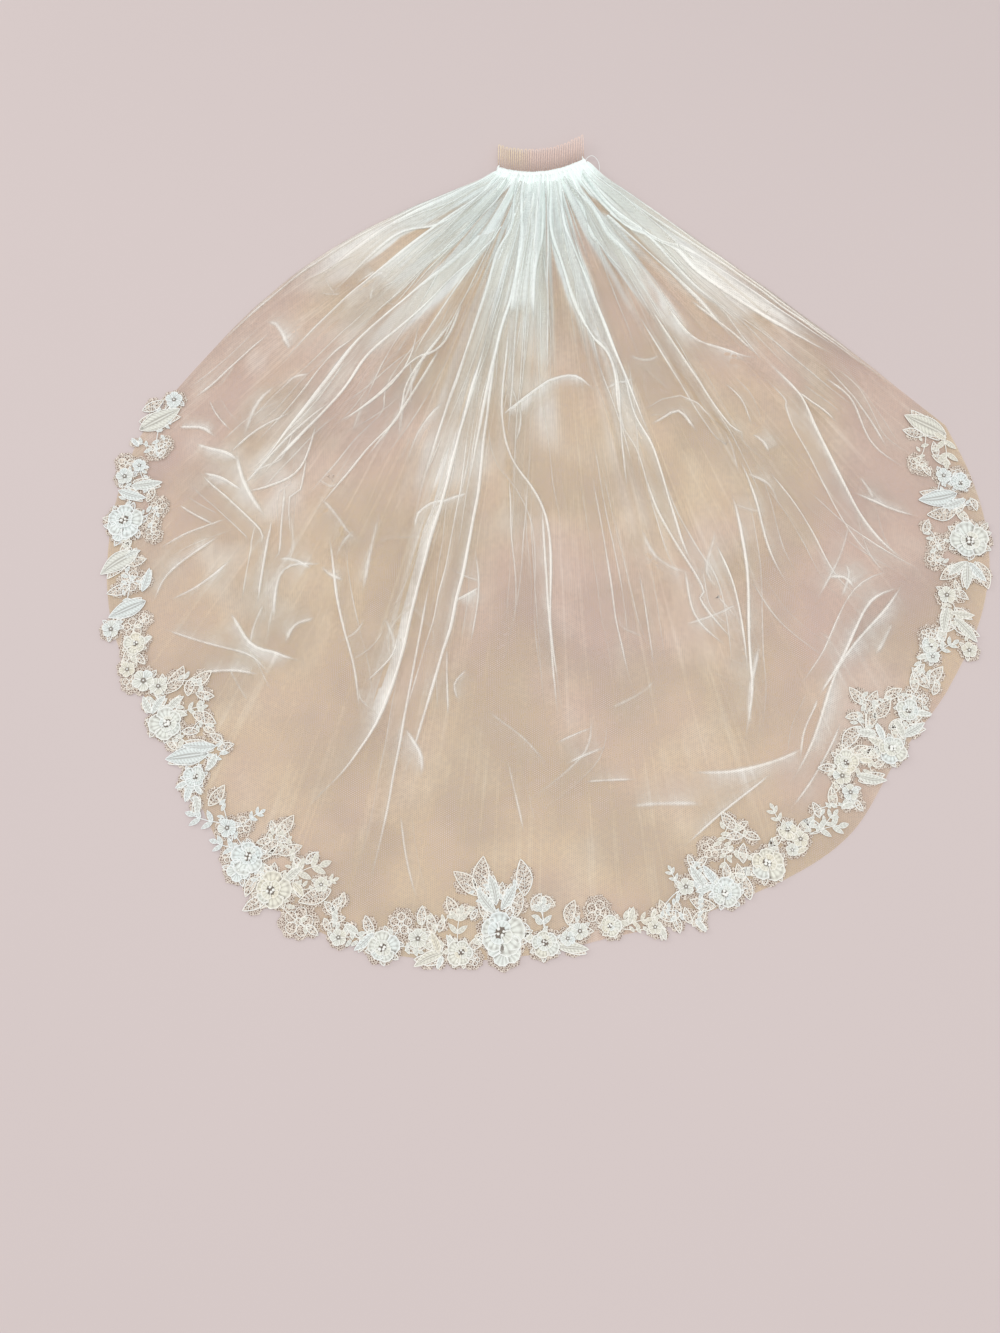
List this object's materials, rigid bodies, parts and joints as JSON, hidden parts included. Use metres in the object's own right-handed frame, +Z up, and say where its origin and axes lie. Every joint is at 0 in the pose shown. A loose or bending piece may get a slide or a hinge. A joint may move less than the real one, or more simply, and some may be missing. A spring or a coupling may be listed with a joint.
{
  "type": "bridal veil on a hair comb",
  "caption": "Sheer net veil laid flat in a fan, gathered into a sewn band on a wire hair comb, with folds running out to a hem of flower and leaf lace.",
  "frame": {"origin": "on the surface, below the middle of the veil's box", "axes": "+Z up from the surface, +Y from the hem towards the comb, +X to the right as seen from above with the comb at the top"},
  "size_m": [0.9602, 0.9616, 0.0172],
  "materials": {
    "net": "soft sheer ivory net",
    "band": "white sewing thread over gathered net",
    "lace_mint": "cool white embroidery",
    "lace_ivory": "ivory embroidery",
    "lace_cream": "cream embroidery",
    "wire": "bright rose metal wire"
  },
  "bodies": {
    "root": {"net_panel": "net", "sewn_band": "band", "hair_comb": "wire", "lace_motif_01": "lace_mint", "lace_motif_02": "lace_mint", "lace_motif_03": "lace_mint", "lace_motif_04": "lace_cream", "lace_motif_05": "lace_ivory", "lace_motif_06": "lace_mint", "lace_motif_07": "lace_mint", "lace_motif_08": "lace_cream", "lace_motif_09": "lace_ivory", "lace_motif_10": "lace_cream", "lace_motif_11": "lace_mint", "lace_motif_12": "lace_ivory", "lace_motif_13": "lace_cream", "lace_motif_14": "lace_mint", "lace_motif_15": "lace_cream", "lace_motif_16": "lace_cream", "lace_motif_17": "lace_ivory", "lace_motif_18": "lace_cream", "lace_motif_19": "lace_ivory", "lace_motif_20": "lace_ivory", "lace_motif_21": "lace_ivory", "lace_motif_22": "lace_cream", "lace_motif_23": "lace_ivory", "lace_motif_24": "lace_mint", "lace_motif_25": "lace_cream"}
  },
  "joints": []
}
